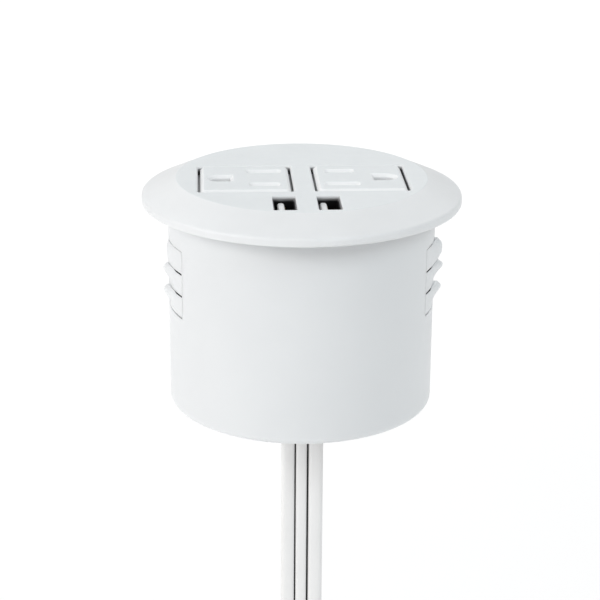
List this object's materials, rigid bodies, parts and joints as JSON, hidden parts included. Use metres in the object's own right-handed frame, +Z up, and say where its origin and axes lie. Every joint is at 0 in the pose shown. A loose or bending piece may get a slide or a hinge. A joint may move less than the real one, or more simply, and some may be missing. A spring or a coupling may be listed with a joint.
{
  "type": "desk power grommet",
  "caption": "Round in-desk power grommet: domed flange with grounded outlets and USB charging ports, cup body with sprung side grips, and a flat cord hanging from its base.",
  "frame": {"origin": "centre of the flange's underside, in the plane of the desk surface it rests on", "axes": "+Z up out of the desk, +X along the row of outlets, USB ports on the -Y side"},
  "size_m": [0.0869, 0.1442, 0.345],
  "materials": {
    "white_shell": "smooth satin moulded plastic",
    "outlet_face": "smooth satin moulded plastic",
    "outlet_body": "fine matt moulded plastic",
    "shutter": "smooth nylon",
    "contact_brass": "rolled sheet",
    "spring_steel": "drawn wire",
    "screw_steel": "zinc plated",
    "usb_shell": "folded plated sheet",
    "usb_tongue": "fine matt",
    "board": "solder mask",
    "ferrite": "sintered ferrite",
    "winding_tape": "polyester tape",
    "can": "sleeved can",
    "chip": "moulded epoxy",
    "wire_black": "extruded",
    "wire_white": "extruded",
    "wire_green": "extruded",
    "splice": "tinned copper",
    "clamp": "nylon",
    "cord_jacket": "soft extruded jacket",
    "tie": "woven hook and loop strap",
    "plug": "soft moulded plastic",
    "plug_metal": "nickel plated brass"
  },
  "bodies": {
    "housing": {"top_cover": "white_shell", "housing_cup": "white_shell", "receptacle_face_left": "outlet_face", "receptacle_face_right": "outlet_face", "receptacle_base_left": "outlet_body", "receptacle_base_right": "outlet_body", "hot_contact_left": "contact_brass", "hot_contact_right": "contact_brass", "neutral_contact_left": "contact_brass", "neutral_contact_right": "contact_brass", "ground_contact_left": "contact_brass", "ground_contact_right": "contact_brass", "usb_contacts": "contact_brass", "shutter_spring_left": "spring_steel", "shutter_spring_right": "spring_steel", "receptacle_screws": "screw_steel", "board_screws": "screw_steel", "housing_screws": "screw_steel", "clamp_screws": "screw_steel", "usb_shell_left": "usb_shell", "usb_shell_right": "usb_shell", "usb_tongue_left": "usb_tongue", "usb_tongue_right": "usb_tongue", "usb_board": "board", "transformer_core": "ferrite", "inductor": "ferrite", "transformer_winding": "winding_tape", "input_capacitor": "can", "output_capacitors": "can", "bridge_rectifier": "chip", "charger_chip": "chip", "hot_wire": "wire_black", "neutral_wire": "wire_white", "ground_wire": "wire_green", "wire_splices": "splice", "cord_clamp": "clamp", "cord": "cord_jacket", "cord_coil": "cord_jacket", "cord_tail": "cord_jacket", "strain_relief": "cord_jacket", "cord_tie": "tie", "plug_body": "plug", "plug_blades": "plug_metal", "plug_ground_pin": "plug_metal"},
    "grip_fin_left_lower": {"grip_fin_left_lower": "white_shell"},
    "grip_fin_left_middle": {"grip_fin_left_middle": "white_shell"},
    "grip_fin_left_upper": {"grip_fin_left_upper": "white_shell"},
    "grip_fin_right_lower": {"grip_fin_right_lower": "white_shell"},
    "grip_fin_right_middle": {"grip_fin_right_middle": "white_shell"},
    "grip_fin_right_upper": {"grip_fin_right_upper": "white_shell"},
    "shutter_left": {"shutter_left": "shutter"},
    "shutter_right": {"shutter_right": "shutter"}
  },
  "joints": [
    {"name": "shutter_right_slide", "type": "slide", "parent": "housing", "child": "shutter_right", "axis": [0, 1, 0], "range_m": [0, 0.003], "stiffness_N_per_m": 60, "springref_m": -0.002, "deforming": ["shutter_spring_right"]},
    {"name": "grip_fin_right_upper_flex", "type": "hinge", "parent": "housing", "child": "grip_fin_right_upper", "pos_m": [0.03147, -0.01496, -0.01303], "axis": [0, 0, 1], "range_deg": [0, 8], "stiffness_Nm_per_rad": 0.19},
    {"name": "grip_fin_right_middle_flex", "type": "hinge", "parent": "housing", "child": "grip_fin_right_middle", "pos_m": [0.03147, -0.01496, -0.01923], "axis": [0, 0, 1], "range_deg": [0, 8], "stiffness_Nm_per_rad": 0.19},
    {"name": "grip_fin_right_lower_flex", "type": "hinge", "parent": "housing", "child": "grip_fin_right_lower", "pos_m": [0.03147, -0.01496, -0.02542], "axis": [0, 0, 1], "range_deg": [0, 8], "stiffness_Nm_per_rad": 0.19},
    {"name": "shutter_left_slide", "type": "slide", "parent": "housing", "child": "shutter_left", "axis": [0, -1, 0], "range_m": [0, 0.003], "stiffness_N_per_m": 60, "springref_m": -0.002, "deforming": ["shutter_spring_left"]},
    {"name": "grip_fin_left_upper_flex", "type": "hinge", "parent": "housing", "child": "grip_fin_left_upper", "pos_m": [-0.03147, -0.01496, -0.01303], "axis": [0, 0, -1], "range_deg": [0, 8], "stiffness_Nm_per_rad": 0.19},
    {"name": "grip_fin_left_middle_flex", "type": "hinge", "parent": "housing", "child": "grip_fin_left_middle", "pos_m": [-0.03147, -0.01496, -0.01923], "axis": [0, 0, -1], "range_deg": [0, 8], "stiffness_Nm_per_rad": 0.19},
    {"name": "grip_fin_left_lower_flex", "type": "hinge", "parent": "housing", "child": "grip_fin_left_lower", "pos_m": [-0.03147, -0.01496, -0.02542], "axis": [0, 0, -1], "range_deg": [0, 8], "stiffness_Nm_per_rad": 0.19}
  ]
}
